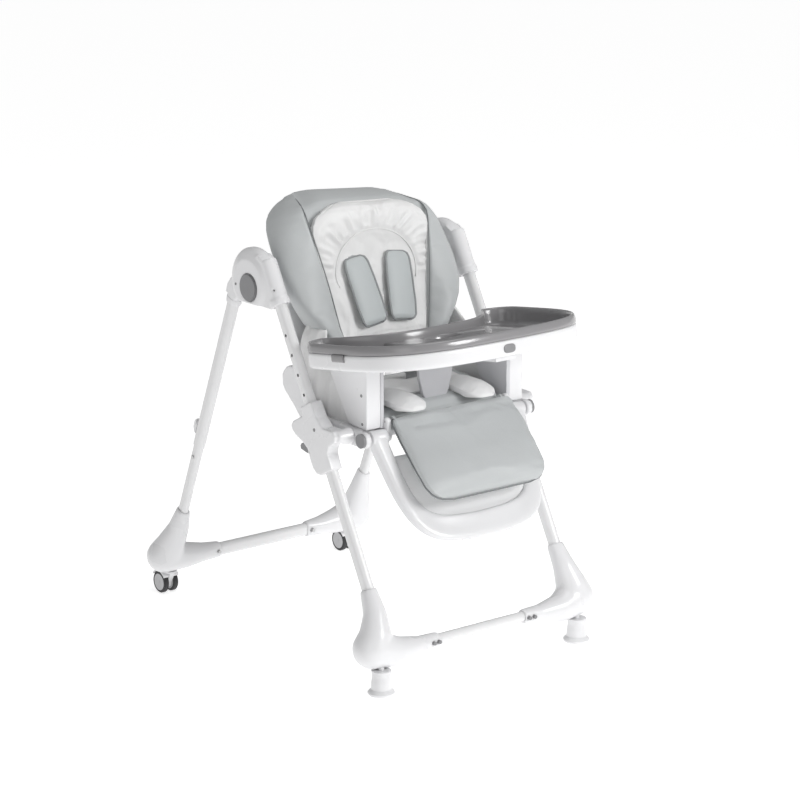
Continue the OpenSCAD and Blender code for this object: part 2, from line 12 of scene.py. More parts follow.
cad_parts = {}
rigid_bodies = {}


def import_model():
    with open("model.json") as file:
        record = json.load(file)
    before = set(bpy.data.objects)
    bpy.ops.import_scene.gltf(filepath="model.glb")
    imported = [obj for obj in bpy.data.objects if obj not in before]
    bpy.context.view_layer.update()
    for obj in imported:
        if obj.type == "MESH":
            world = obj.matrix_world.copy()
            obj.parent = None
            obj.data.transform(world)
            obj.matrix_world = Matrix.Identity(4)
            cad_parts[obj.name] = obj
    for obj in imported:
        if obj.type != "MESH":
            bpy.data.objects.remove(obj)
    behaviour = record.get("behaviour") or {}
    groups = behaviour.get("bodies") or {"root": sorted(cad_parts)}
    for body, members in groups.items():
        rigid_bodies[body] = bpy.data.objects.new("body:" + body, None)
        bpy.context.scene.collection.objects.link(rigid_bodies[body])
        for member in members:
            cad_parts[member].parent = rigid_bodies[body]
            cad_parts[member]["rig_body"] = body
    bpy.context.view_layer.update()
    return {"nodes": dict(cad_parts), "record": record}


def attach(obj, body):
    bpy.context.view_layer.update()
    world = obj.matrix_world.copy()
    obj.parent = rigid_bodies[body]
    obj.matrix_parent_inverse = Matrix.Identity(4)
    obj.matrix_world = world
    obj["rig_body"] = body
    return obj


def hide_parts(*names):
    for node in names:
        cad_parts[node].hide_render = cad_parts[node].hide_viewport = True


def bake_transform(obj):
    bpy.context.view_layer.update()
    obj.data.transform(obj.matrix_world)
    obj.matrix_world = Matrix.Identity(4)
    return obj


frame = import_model()
scene = bpy.context.scene

MM = 0.001
SHIFT = 29.8            # the frame sits this far behind the middle of its feet, mm


def at(x, y, z):
    """A point given in millimetres from the middle of the feet."""
    return Vector((x, y + SHIFT, z)) * MM


class Place:
    """A local frame in millimetres: across the chair, out of the face, and along it."""

    def __init__(self, origin, out, along):
        self.origin = origin
        self.out = Vector(out).normalized()
        self.along = Vector(along).normalized()

    def __call__(self, x, v, w):
        return self.origin + (Vector((x, 0, 0)) + self.out * v + self.along * w) * MM


LEAN = math.radians(20.6)
RECLINE = (-43, 580)           # Y and Z of the pins that the back leans on
BOARD_PIVOT = (-291, 536)      # of the calf board's hinge
LEG_PIVOT = (-291, 505)        # of the footrest's hinge
BACK = Place(at(0, *RECLINE), (0, -math.cos(LEAN), math.sin(LEAN)), (0, math.sin(LEAN), math.cos(LEAN)))
CALF = Place(at(0, *BOARD_PIVOT), (0, -1, 1), (0, -1, -1))
SEAT = Place(at(0, 0, 0), (0, 0, 1), (0, -1, 0))

# ---------------------------------------------------------------- camera, floor and light
camera = bpy.data.objects.new("camera", bpy.data.cameras.new("camera"))
camera.data.lens = 131.4
camera.data.sensor_width = 36
camera.data.clip_end = 200
camera.location = (-3.6852, -4.8848 + SHIFT * MM, 2.1352)
camera.rotation_euler = Vector((0.5918, 0.7634, -0.2591)).to_track_quat("-Z", "Y").to_euler()
scene.collection.objects.link(camera)
scene.camera = camera
scene.view_settings.view_transform = "Standard"

world = bpy.data.worlds.new("studio")
world.use_nodes = True
world.node_tree.nodes["Background"].inputs[0].default_value = (1, 1, 1, 1)
world.node_tree.nodes["Background"].inputs[1].default_value = 0.34
scene.world = world


def area_light(name, place, target, size, power):
    data = bpy.data.lights.new(name, "AREA")
    data.shape, data.size, data.energy = "DISK", size, power
    lamp = bpy.data.objects.new(name, data)
    lamp.location = place
    lamp.rotation_euler = (Vector(target) - Vector(place)).to_track_quat("-Z", "Y").to_euler()
    scene.collection.objects.link(lamp)


area_light("key", (1.4, -4.0, 2.3), (0, 0, 0.5), 1.5, 84)
area_light("fill", (-3.4, -2.6, 1.8), (0, 0, 0.5), 2.2, 13)
area_light("top", (0.2, -0.9, 3.4), (0, 0, 0.4), 1.8, 20)


# ---------------------------------------------------------------- materials
def shader(name, colour, rough, coat=0.0, sheen=0.0, spread=0.03, tint_scale=9.0, metal=0.0):
    """A Principled material whose colour and roughness drift a little over the surface."""
    mat = bpy.data.materials.new(name)
    mat.use_nodes = True
    nodes, links = mat.node_tree.nodes, mat.node_tree.links
    bsdf = nodes["Principled BSDF"]
    bsdf.inputs["Metallic"].default_value = metal
    bsdf.inputs["Coat Weight"].default_value = coat
    bsdf.inputs["Coat Roughness"].default_value = 0.12
    bsdf.inputs["Sheen Weight"].default_value = sheen
    bsdf.inputs["Sheen Roughness"].default_value = 0.4
    place = nodes.new("ShaderNodeTexCoord")
    drift = nodes.new("ShaderNodeTexNoise")
    drift.inputs["Scale"].default_value = tint_scale
    drift.inputs["Detail"].default_value = 4
    links.new(place.outputs["Object"], drift.inputs["Vector"])
    tint = nodes.new("ShaderNodeValToRGB")
    tint.color_ramp.elements[0].position, tint.color_ramp.elements[1].position = 0.3, 0.7
    tint.color_ramp.elements[0].color = [c * (1 - spread) for c in colour] + [1]
    tint.color_ramp.elements[1].color = [min(1, c * (1 + spread)) for c in colour] + [1]
    links.new(drift.outputs["Fac"], tint.inputs["Fac"])
    links.new(tint.outputs["Color"], bsdf.inputs["Base Color"])
    gloss = nodes.new("ShaderNodeMapRange")
    gloss.inputs["To Min"].default_value = rough * 0.88
    gloss.inputs["To Max"].default_value = rough * 1.14
    links.new(drift.outputs["Fac"], gloss.inputs["Value"])
    links.new(gloss.outputs["Result"], bsdf.inputs["Roughness"])
    return mat, nodes, links, bsdf, place


def bump(nodes, links, bsdf, height, strength, distance, before=None):
    node = nodes.new("ShaderNodeBump")
    node.inputs["Strength"].default_value = strength
    node.inputs["Distance"].default_value = distance
    links.new(height, node.inputs["Height"])
    if before:
        links.new(before.outputs["Normal"], node.inputs["Normal"])
    links.new(node.outputs["Normal"], bsdf.inputs["Normal"])
    return node


def plastic(name, colour, rough, coat=0.0, peel=0.06, spread=0.015):
    """Moulded plastic or paint: a faint orange peel and fine grain."""
    mat, nodes, links, bsdf, place = shader(name, colour, rough, coat=coat, spread=spread)
    fine = nodes.new("ShaderNodeTexNoise")
    fine.inputs["Scale"].default_value = 420
    fine.inputs["Detail"].default_value = 3
    links.new(place.outputs["Object"], fine.inputs["Vector"])
    bump(nodes, links, bsdf, fine.outputs["Fac"], peel, 0.0004)
    return mat


def leather(name, colour, rough=0.46, grain=0.22, crease=0.25, sheen=0.08, spread=0.035):
    """Soft coated fabric: pebbled grain with shallow creases and a little sheen."""
    mat, nodes, links, bsdf, place = shader(name, colour, rough, sheen=sheen, spread=spread, tint_scale=6)
    cells = nodes.new("ShaderNodeTexVoronoi")
    cells.feature = "SMOOTH_F1"
    cells.inputs["Scale"].default_value = 620
    folds = nodes.new("ShaderNodeTexNoise")
    folds.inputs["Scale"].default_value = 26
    folds.inputs["Detail"].default_value = 5
    folds.inputs["Distortion"].default_value = 0.8
    for node in (cells, folds):
        links.new(place.outputs["Object"], node.inputs["Vector"])
    first = bump(nodes, links, bsdf, folds.outputs["Fac"], crease, 0.004)
    bump(nodes, links, bsdf, cells.outputs["Distance"], grain, 0.0006, before=first)
    return mat


def woven(name, colour):
    """Narrow webbing: two crossed sets of fine ribs."""
    mat, nodes, links, bsdf, place = shader(name, colour, 0.7, sheen=0.2, spread=0.06, tint_scale=60)
    mix = nodes.new("ShaderNodeMath")
    mix.operation = "ADD"
    for i, (axis, scale) in enumerate((("X", 420), ("Z", 560))):
        wave = nodes.new("ShaderNodeTexWave")
        wave.bands_direction = axis
        wave.inputs["Scale"].default_value = scale
        links.new(place.outputs["Object"], wave.inputs["Vector"])
        links.new(wave.outputs["Fac"], mix.inputs[i])
    bump(nodes, links, bsdf, mix.outputs[0], 0.4, 0.0005)
    return mat


WHITE = plastic("white_plastic", (0.77, 0.77, 0.78), 0.28, coat=0.25)
# A lighter copy of the white plastic: painted light for the footrest panel, which stands in the calf pad's shade.
WHITE_PAINTED_LIGHT = plastic("white_plastic_painted_light", (0.92, 0.92, 0.925), 0.35)
PAINT = plastic("white_paint", (0.77, 0.77, 0.775), 0.24, coat=0.35, peel=0.1)
GREY = plastic("grey_plastic", (0.235, 0.235, 0.242), 0.42)
TRAY = plastic("tray_grey", (0.25, 0.246, 0.252), 0.2, coat=0.4)
DIVIDER = plastic("divider_grey", (0.52, 0.52, 0.54), 0.45)
PANEL = plastic("panel_grey", (0.6, 0.6, 0.62), 0.5)
HUBCAP = plastic("wheel_grey", (0.5, 0.5, 0.51), 0.45)
TYRE = plastic("black_tyre", (0.03, 0.03, 0.032), 0.6, peel=0.25)
DARK = plastic("screw_black", (0.02, 0.02, 0.02), 0.5)
STEEL = shader("steel", (0.55, 0.55, 0.55), 0.3, metal=1.0)[0]
SOFT = leather("grey_leather", (0.49, 0.508, 0.512))
LINER = leather("cream_leather", (0.77, 0.77, 0.768), rough=0.5, grain=0.16, crease=0.35)
PAD = leather("pad_leather", (0.48, 0.51, 0.515))
# Piping cord whose dark colour is painted shade, standing for the shadow line along the seams.
PIPING_PAINTED_SHADE = leather("piping", (0.2, 0.21, 0.215), rough=0.5, grain=0.1)
BINDING = leather("binding", (0.27, 0.28, 0.285), rough=0.5, grain=0.1)
WEB = woven("webbing", (0.4, 0.41, 0.42))

NODE_LOOKS = {
    PAINT: ["front_leg_*", "rear_leg_*", "front_crossbar", "rear_crossbar"],
    WHITE: ["tray_latch", "tray_hooks", "caster_housing_*", "front_feet", "hub_eye_*"],
    GREY: ["fold_button_*", "front_snap_buttons", "slider_lever_*", "leg_pivot_caps", "recline_handle",
           "buckle"],
    STEEL: ["hub_pins", "rear_snap_buttons", "lever_pins", "leg_pivot_pins", "recline_pins"],
    HUBCAP: ["caster_hubs_*"],
    TYRE: ["caster_tyres_*"],
    PANEL: ["panel_liners"],
}


def free(obj):
    """Takes a piece off its body; it keeps its place in the world."""
    place = obj.matrix_world.copy()
    obj.parent = None
    obj.matrix_world = place
    del obj["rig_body"]


def paint(obj, mat):
    obj.data.materials.clear()
    obj.data.materials.append(mat)
    return obj


for mat, patterns in NODE_LOOKS.items():
    for pattern in patterns:
        for name, node in frame["nodes"].items():
            if name == pattern or (pattern[-1] == "*" and name.startswith(pattern[:-1])):
                paint(node, mat)

# ---------------------------------------------------------------- mesh helpers
BODY_OF = {n: b for b, ns in frame["record"]["behaviour"]["bodies"].items() for n in ns}


def make(name, verts, faces, mat, body):
    """A smooth mesh that rides a body of the frame."""
    mesh = bpy.data.meshes.new(name)
    mesh.from_pydata([tuple(v) for v in verts], [], faces)
    mesh.update()
    mesh.polygons.foreach_set("use_smooth", [True] * len(mesh.polygons))
    obj = bpy.data.objects.new(name, mesh)
    scene.collection.objects.link(obj)
    paint(obj, mat)
    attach(obj, body)
    return obj


def tidy(obj, distance=0.00005):
    """Merges doubled points and turns every face outward."""
    mesh = bmesh.new()
    mesh.from_mesh(obj.data)
    bmesh.ops.remove_doubles(mesh, verts=mesh.verts, dist=distance)
    bmesh.ops.recalc_face_normals(mesh, faces=mesh.faces)
    for face in mesh.faces:
        face.smooth = True
    mesh.to_mesh(obj.data)
    mesh.free()
    return obj


def loft(name, rings, mat, body, caps=True):
    """A skin over rings that all have the same number of points."""
    count = len(rings[0])
    faces = []
    for i in range(len(rings) - 1):
        for j in range(count):
            a, b = i * count + j, i * count + (j + 1) % count
            faces.append((a, b, b + count, a + count))
    if caps:
        faces.append(tuple(range(count)))
        faces.append(tuple(range((len(rings) - 1) * count, len(rings) * count)))
    obj = make(name, [p for ring in rings for p in ring], faces, mat, body)
    return tidy(obj)


def catmull_rom(a, b, c, d, t):
    """The point at t between b and c on the curve through a, b, c and d."""
    return 0.5 * (2 * b + (c - a) * t + (2 * a - 5 * b + 4 * c - d) * t ** 2
                  + (3 * b - a - 3 * c + d) * t ** 3)


def smooth_line(points, steps=8):
    """A smooth curve through the points."""
    pts = [Vector(p) for p in points]
    pts = [2 * pts[0] - pts[1]] + pts + [2 * pts[-1] - pts[-2]]
    out = []
    for i in range(1, len(pts) - 2):
        for k in range(steps):
            out.append(catmull_rom(*pts[i - 1:i + 3], k / steps))
    out.append(pts[-2])
    return out


def tube(name, points, radius, mat, body, sides=10, closed=False):
    """A round cord through the points."""
    rings = []
    side = None
    count = len(points)
    for i, p in enumerate(points):
        ahead = points[(i + 1) % count] if closed or i + 1 < count else p
        behind = points[i - 1] if closed or i else p
        along = (ahead - behind).normalized()
        side = along.orthogonal() if side is None else side - along * side.dot(along)
        side.normalize()
        other = along.cross(side)
        rings.append([p + (side * math.cos(a) + other * math.sin(a)) * radius
                      for a in (2 * math.pi * k / sides for k in range(sides))])
    if closed:
        rings.append(rings[0])
    return loft(name, rings, mat, body, caps=not closed)


def ribbon(name, points, across, width, thick, mat, body):
    """A flat strap: across is the direction of its width."""
    rings = []
    across = Vector(across).normalized()
    for i, p in enumerate(points):
        along = (points[min(i + 1, len(points) - 1)] - points[max(i - 1, 0)]).normalized()
        wide = (across - along * across.dot(along)).normalized()
        up = along.cross(wide)
        rings.append([p + wide * a * width / 2 + up * b * thick / 2 for a, b in
                      ((-1, 0), (-0.96, 1), (-0.5, 1), (0, 1), (0.5, 1), (0.96, 1), (1, 0), (0.96, -1),
                       (0.5, -1), (0, -1), (-0.5, -1), (-0.96, -1))])
    return loft(name, rings, mat, body)


def apply_modifiers(obj):
    """Keeps the evaluated mesh and drops the modifiers."""
    bpy.context.view_layer.update()
    graph = bpy.context.evaluated_depsgraph_get()
    mesh = bpy.data.meshes.new_from_object(obj.evaluated_get(graph))
    obj.modifiers.clear()
    obj.data = mesh
    mesh.polygons.foreach_set("use_smooth", [True] * len(mesh.polygons))
    return obj


def subdivide(obj):
    mod = obj.modifiers.new("fine", "SUBSURF")
    mod.levels = mod.render_levels = 1
    return apply_modifiers(obj)


def moulded(node, voxel, rounds, mat, name=None):
    """A copy of a CAD solid with its edges rounded as a moulding's are."""
    source = frame["nodes"][node]
    obj = bpy.data.objects.new(name or node + "_moulded", source.data.copy())
    scene.collection.objects.link(obj)
    remesh = obj.modifiers.new("remesh", "REMESH")
    remesh.mode, remesh.voxel_size = "VOXEL", voxel * MM
    remesh.use_smooth_shade = True
    relax = obj.modifiers.new("relax", "SMOOTH")
    relax.factor, relax.iterations = 0.5, rounds
    apply_modifiers(obj)
    paint(obj, mat)
    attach(obj, BODY_OF[node])
    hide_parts(node)
    return obj


def puff(obj, pressure, cap, frames=14, held=None, slack=0.0, stiff=12):
    """Swells a soft piece by cloth simulation; no point moves further than cap (mm)."""
    rest = np.array([v.co for v in obj.data.vertices])
    cloth = obj.modifiers.new("cloth", "CLOTH")
    s = cloth.settings
    s.quality = 5
    s.mass = 0.2
    s.tension_stiffness = s.compression_stiffness = stiff
    s.shear_stiffness = stiff / 2
    s.bending_stiffness = 0.4
    s.use_pressure = True
    s.uniform_pressure_force = pressure
    s.effector_weights.gravity = 0
    s.shrink_min = -slack
    if held:
        s.vertex_group_mass = held
    cloth.point_cache.frame_start, cloth.point_cache.frame_end = 1, frames
    for f in range(1, frames + 1):
        scene.frame_set(f)
    graph = bpy.context.evaluated_depsgraph_get()
    moved = np.array([v.co for v in obj.evaluated_get(graph).data.vertices])
    obj.modifiers.remove(cloth)
    scene.frame_set(1)
    step = moved - rest
    size = np.linalg.norm(step, axis=1, keepdims=True)
    limit = cap * MM
    step *= np.minimum(1, limit / np.maximum(size, 1e-9))
    obj.data.vertices.foreach_set("co", (rest + step).ravel())
    obj.data.update()
    return obj


def group(obj, name, test):
    """Puts the points that pass the test in a vertex group."""
    vertex_group = obj.vertex_groups.new(name=name)
    vertex_group.add([v.index for v in obj.data.vertices if test(v.co)], 1.0, "REPLACE")
    return name


def blendtab(x, table, column):
    """The value in a table's column, read between its rows."""
    return float(np.interp(x, [r[0] for r in table], [r[column] for r in table]))


def cushion(name, place, table, mat, body, columns=29, rows=33, power=3.0, sink=1.0, ripple=None):
    """A crowned pad. table rows: along, half-width, back face, edge height, crown height."""
    lo, hi = table[0][0], table[-1][0]
    ws = [lo + (hi - lo) * (1 - math.cos(math.pi * i / (rows - 1))) / 2 for i in range(rows)]
    us = [math.sin(math.pi / 2 * (-1 + 2 * j / (columns - 1))) for j in range(columns)]
    rings = []
    for w in ws:
        half, back, edge, crown = (blendtab(w, table, c) for c in (1, 2, 3, 4))
        front = []
        for u in us:
            v = edge + (crown - edge) * (1 - abs(u) ** power)
            if ripple:
                v += ripple(half * u, w)
            front.append(place(half * u, v, w))
        middle = place(half + sink, (edge + back) / 2, w)
        rear = [place(half * u, back, w) for u in reversed(us[1:-1:2])]
        rings.append(front + [middle, place(half - 2, back, w)] + rear
                     + [place(2 - half, back, w), place(-half - sink, (edge + back) / 2, w)])
    return loft(name, rings, mat, body)


# ---------------------------------------------------------------- backrest
# Along the back: outer edge (across, forward), wing seam (across, forward), middle (forward).
BACK_ROWS = [
    (8, 138, 55, 98, 56, 48), (30, 146, 74, 106, 64, 51), (60, 158, 88, 114, 70, 54),
    (90, 180, 94, 121, 73, 56), (120, 199, 93, 126, 78, 57), (150, 211, 86, 131, 83, 58),
    (180, 217, 78, 136, 87, 60), (210, 220, 69, 141, 90, 62), (240, 221, 58, 146, 92, 66),
    (270, 221, 44, 151, 94, 74), (300, 217, 30, 156, 95, 82), (320, 212, 19, 158, 93, 87),
    (340, 203, 10, 156, 86, 86), (355, 191, 5, 150, 72, 78), (368, 176, 3, 141, 52, 60),
    (379, 159, 2, 132, 30, 38), (386, 144, 1, 124, 14, 20), (390, 133, 1, 118, 6, 9)]
BACK_TOP = BACK_ROWS[-1][0]


def sag(x, w):
    """The top corners droop, a little more on one side."""
    corner = min(14, 0.005 * max(0, abs(x) - 90) ** 2)
    return (-0.085 * x - corner) * (max(0, w) / BACK_TOP) ** 3


def back_point(x, v, w):
    return BACK(x, v, w + sag(x, w))


def bulge(a, b, t, height):
    """A point between a and b (across, forward), pushed forward of the straight line."""
    x, v = a[0] + (b[0] - a[0]) * t, a[1] + (b[1] - a[1]) * t
    nx, nv = -(b[1] - a[1]), b[0] - a[0]
    size = math.hypot(nx, nv) or 1
    k = 4 * t * (1 - t) * height / size
    if nv < 0:
        nx, nv = -nx, -nv
    return x + nx * k, v + nv * k


def back_row(w):
    xo, vo, xs, vs, vc = (blendtab(w, BACK_ROWS, c) for c in range(1, 6))
    swell = 13 * min(1, (xo - xs) / 60)
    groove = min(16, max(0, vs - vc + 6)) if w < 345 else 3
    slope = min(1, vo / 70)
    half = [(0, 2.2), (xo * 0.3, 2.2), (xo * 0.55, 2.2), (xo * 0.75, 2.2), (xo - 5 - 22 * slope, 3 + vo * 0.06),
            (xo - 12 * slope, vo * 0.38 + 2), (xo - 3 * slope, vo * 0.72 + 1)]
    half += [bulge((xo - 1, vo), (xs, vs), t, swell) for t in (0, 0.12, 0.25, 0.4, 0.55, 0.7, 0.82, 0.92)]
    half += [(xs, vs), (xs - 3, vs - groove), (xs - 14, vs - groove - 4), (xs * 0.72, vc + 2), (xs * 0.5, vc),
             (xs * 0.25, vc), (0, vc)]
    return half


def build_back():
    ws = [8, 14, 22] + list(range(30, 346, 7)) + [350, 355, 360, 365, 370, 375, 379, 383, 386, 388, 390]
    rings = []
    for w in ws:
        half = back_row(w)
        ring = [back_point(x, v, w) for x, v in half]
        ring += [back_point(-x, v, w) for x, v in reversed(half[1:-1])]
        rings.append(ring)
    obj = loft("backrest_cover", rings, SOFT, "backrest")

    def on_seam(co):
        local = co - BACK.origin
        w, v = local.dot(BACK.along) / MM, local.dot(BACK.out) / MM
        x = abs(co.x) / MM
        w -= sag(co.x / MM, w)
        if v < 4 or w < 16:
            return True
        return x < blendtab(w, BACK_ROWS, 3) + 1.5

    puff(obj, 1.8, 4.5, held=group(obj, "held", on_seam), slack=0.012, stiff=12)
    subdivide(obj)
    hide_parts("back_cushion")
    # along the back, and how deep the piping is tucked in
    seam = [(w, 0) for w in range(16, 361, 8)] + [(366, 0.5), (372, 1.5), (377, 3), (381, 6)]
    for side, name in ((-1, "left"), (1, "right")):
        line = [back_point(side * (blendtab(w, BACK_ROWS, 3) - 1), blendtab(w, BACK_ROWS, 4) - 1 - tuck, w)
                for w, tuck in seam]
        # the piping's dark colour is painted shade along the wing seams
        tube(f"wing_piping_{name}", line, 0.0013, PIPING_PAINTED_SHADE, "backrest")


build_back()

# ---------------------------------------------------------------- back liner with its gathered head band
LINER_ROWS = [
    (42, 106, 50, 60, 66), (60, 111, 52, 62, 70), (100, 119, 52, 66, 74), (150, 128, 54, 72, 79),
    (200, 136, 55, 79, 85), (250, 145, 62, 86, 95), (285, 149, 72, 93, 105), (305, 146, 80, 96, 111),
    (320, 135, 84, 98, 113), (331, 116, 84, 98, 109), (339, 92, 84, 95, 102), (345, 62, 84, 91, 94)]
HEAD = (0, 196)                # middle of the head rest, across and along
HEAD_R = (106, 86)


def gathers(x, w):
    """Puckers fanning out from the head rest, a step down inside it and soft folds below."""
    dx, dw = (x - HEAD[0]) / HEAD_R[0], (w - HEAD[1]) / HEAD_R[1]
    r, a = math.hypot(dx, dw), math.atan2(dw, dx)
    up = max(0, min(1, (dw + 0.45) / 0.5))
    ring = max(0, min(1, (r - 1) / 0.12)) * up
    rim = max(0, min(1, (343 - w) / 14)) * max(0, min(1, (1.72 - r) / 0.25))
    wave = math.sin(29 * a + 4.5 * noise.noise((a * 3, r * 2.5, 0))) + 0.7 * math.sin(52 * a + r * 6 + 1)
    out = ring * rim * (1.9 + 2.2 * noise.noise((a * 4, r * 1.5, 2))) * wave
    out -= (1 - max(0, min(1, (r - 0.97) / 0.1))) * 6 * up
    inside = max(0, min(1, (1.0 - r) / 0.3)) if dw > 0 else 1.0
    out += inside * 1.6 * math.sin(x * 0.16 + 1.7 * noise.noise((x * 0.01, w * 0.015, 4.0))) * (0.4 + 0.6 * up)
    return out + 2.0 * noise.noise((x * 0.022, w * 0.016, 1.0))


def build_liner():
    obj = cushion("back_liner", back_point, LINER_ROWS, LINER, "backrest",
                  columns=121, rows=121, power=5, ripple=gathers)
    puff(obj, 1.0, 2.5, frames=6, slack=0.02, stiff=10)
    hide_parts("liner_back")
    arch = []
    for k in range(41):
        a = math.pi * (1.1 - 1.2 * k / 40)
        x, w = HEAD[0] + HEAD_R[0] * math.cos(a), HEAD[1] + HEAD_R[1] * math.sin(a)
        crown, edge = blendtab(w, LINER_ROWS, 4), blendtab(w, LINER_ROWS, 3)
        u = abs(x) / blendtab(w, LINER_ROWS, 1)
        arch.append(back_point(x, edge + (crown - edge) * (1 - u ** 5) - 3, w))
    tube("head_rest_seam", arch, 0.0013, LINER, "backrest")
    outline = []
    low, high = LINER_ROWS[0][0], LINER_ROWS[-1][0]
    ws = [low + (high - low) * k / 40 for k in range(41)]
    for w in ws:
        outline.append(back_point(-blendtab(w, LINER_ROWS, 1), blendtab(w, LINER_ROWS, 3) - 1, w))
    for w in reversed(ws):
        outline.append(back_point(blendtab(w, LINER_ROWS, 1), blendtab(w, LINER_ROWS, 3) - 1, w))
    tube("liner_piping", outline, 0.0016, LINER, "backrest", closed=True)


build_liner()

# ---------------------------------------------------------------- shoulder pads
PAD_ROWS = [(0, 18, 0, 4, 5), (3, 25, 0, 7, 9), (10, 30, 0, 9, 13), (40, 32, 0, 9, 15), (100, 31, 0, 9, 15),
            (132, 29, 0, 9, 14), (143, 25, 0, 8, 10), (148, 18, 0, 4, 5)]


class Tilted(Place):
    """A place that runs from one point to another, turned across the back."""

    def __init__(self, low, high, out):
        along = (high - low).normalized()
        super().__init__(low, out - along * out.dot(along), along)
        self.across = self.along.cross(self.out) * -1

    def __call__(self, x, v, w):
        return self.origin + (self.across * x + self.out * v + self.along * w) * MM


def build_shoulder_pads():
    for side, name in ((-1, "left"), (1, "right")):
        place = Tilted(BACK(side * 37, 82, 82), BACK(side * 57, 80, 230), BACK.out)
        obj = cushion(f"shoulder_pad_{name}", place, PAD_ROWS, PAD, "backrest", columns=21,
                      rows=31, power=3)
        puff(obj, 1.5, 3, frames=8, slack=0.02)
        subdivide(obj)
        ws = [74 - 74 * math.cos(math.pi * k / 40) for k in range(41)]
        loop = [place(-blendtab(w, PAD_ROWS, 1) - 1.5, blendtab(w, PAD_ROWS, 3) - 0.5, w) for w in ws]
        loop += [place(blendtab(w, PAD_ROWS, 1) + 1.5, blendtab(w, PAD_ROWS, 3) - 0.5, w) for w in reversed(ws)]
        tube(f"pad_piping_{name}", loop, 0.003, BINDING, "backrest", closed=True)
        strap = smooth_line([place(0, 3, 132), place(0, 3, 150), BACK(side * 59, 79, 246),
                             BACK(side * 59, 66, 256)])
        ribbon(f"strap_top_{name}", strap, (1, 0, 0), 0.022, 0.002, WEB, "backrest")
    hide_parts("shoulder_pads")


build_shoulder_pads()

# ---------------------------------------------------------------- seat, bolsters and liner
SEAT_ROWS = [(70, 168, 523, 548, 560), (90, 172, 523, 552, 566), (150, 171, 523, 552, 568),
             (170, 162, 523, 552, 567), (240, 158, 523, 550, 564), (268, 154, 523, 546, 558),
             (280, 148, 523, 538, 546)]
obj = cushion("seat_cushion_cover", SEAT, SEAT_ROWS, SOFT, "seat", columns=45, rows=35, power=5)
puff(obj, 1.5, 4, frames=10, slack=0.02)
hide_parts("seat_cushion")

LINER_SEAT_ROWS = [(100, 104, 559, 566, 570), (112, 110, 559, 570, 578), (170, 112, 559, 572, 582),
                   (215, 108, 559, 570, 578), (226, 100, 559, 564, 566)]
obj = cushion("seat_liner", SEAT, LINER_SEAT_ROWS, LINER, "seat", columns=45, rows=25, power=4)
puff(obj, 1.0, 3, frames=8, slack=0.02)
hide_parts("liner_seat")

LOBE_ROWS = [(192, 20, 560, 567, 572), (203, 28, 558, 569, 579), (236, 35, 557, 570, 584), (274, 37, 557, 570, 584),
             (292, 35, 558, 569, 582), (304, 31, 558, 568, 578), (313, 25, 559, 566, 573), (320, 17, 560, 564, 568),
             (323, 9, 561, 563, 565)]


class Offset(Place):
    """A place moved sideways, whose far end curls down."""

    def __init__(self, base, dx):
        super().__init__(base.origin, base.out, base.along)
        self.dx = dx

    def __call__(self, x, v, w):
        return super().__call__(x + self.dx, v - 0.0004 * max(0, w - 220) ** 2, w)


for side, name in ((-1, "left"), (1, "right")):
    obj = cushion(f"seat_lobe_{name}", Offset(SEAT, side * 92 - 8), LOBE_ROWS, LINER, "seat",
                  columns=31, rows=37, power=2.0)
    puff(obj, 2.2, 6, frames=10, slack=0.03)
    subdivide(obj)
    free(obj)
    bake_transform(obj)

# Side guards hang from the wings down to the seat; (height, rear Y, front Y, thickness), mm.
GUARD_X = 190                  # how far out from the middle each one hangs, mm
GUARD_ROWS = [(511, -152, -206, 4), (516, -112, -212, 9), (530, -80, -216, 13), (560, -58, -216, 15),
              (600, -44, -206, 15), (622, -40, -160, 14), (640, -38, -128, 13), (670, -36, -118, 12),
              (692, -38, -106, 9), (708, -44, -86, 4)]


def build_guards():
    low, high = GUARD_ROWS[0][0], GUARD_ROWS[-1][0]
    for side, name in ((-1, "left"), (1, "right")):
        rings = []
        for i in range(49):
            z = low + (high - low) * i / 48
            rear, front, thick = (blendtab(z, GUARD_ROWS, c) for c in (1, 2, 3))
            outer, inner = [], []
            for j in range(37):
                t = j / 36
                y = rear + (front - rear) * t
                round_off = (1 - abs(2 * t - 1) ** 6) ** 0.5
                fold = 2.6 * math.sin((y + 0.18 * (z - 600)) * 0.145 + 1.6 * noise.noise((y * 0.012, z * 0.01, 7)))
                fold *= max(0, min(1, (z - 508) / 30)) * (1 - abs(2 * t - 1) ** 4)
                lean = -26 * max(0, (z - 640) / 76) ** 1.4
                belly = (thick * 0.6 + fold) * round_off + 4 * math.sin(math.pi * t)
                outer.append(at(side * (GUARD_X + lean + belly), y, z))
                if j % 2 == 0:
                    inner.append(at(side * (GUARD_X + lean - thick * 0.4 * round_off), y, z))
            rings.append(outer + inner[::-1])
        obj = loft(f"side_guard_{name}", rings, LINER, "seat")
        puff(obj, 1.2, 3, frames=8, slack=0.03)
        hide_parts(f"side_bolster_{name}")


build_guards()

# ---------------------------------------------------------------- calf pad
CALF_ROWS = [(1, 147, 7, 13, 17), (5, 152, 4, 18, 24), (14, 155, 2.5, 20, 28), (60, 157, 2.2, 20, 30),
             (120, 156, 2.2, 20, 30), (170, 153, 2.2, 19, 27), (188, 146, 2.2, 17, 23), (199, 135, 2.2, 13, 17),
             (205, 119, 2.2, 8, 10), (207, 101, 2.2, 5, 6)]


def calf_creases(x, w):
    """Two soft diagonal folds from the knee, and a dip under the crotch divider."""
    a = math.exp(-((x + 6 - 0.25 * (w - 20)) / 7) ** 2) * max(0, 1 - w / 120)
    b = math.exp(-((x + 52 - 0.1 * w) / 9) ** 2) * max(0, 1 - w / 70)
    edge = max(0, min(1, (150 - abs(x)) / 40))
    dip = 5 * math.exp(-(x / 42) ** 4) * max(0, min(1, (34 - w) / 24))
    return edge * (-4.5 * a - 3.0 * b + 2.4 * noise.noise((x * 0.012, w * 0.01, 5.0))) - dip


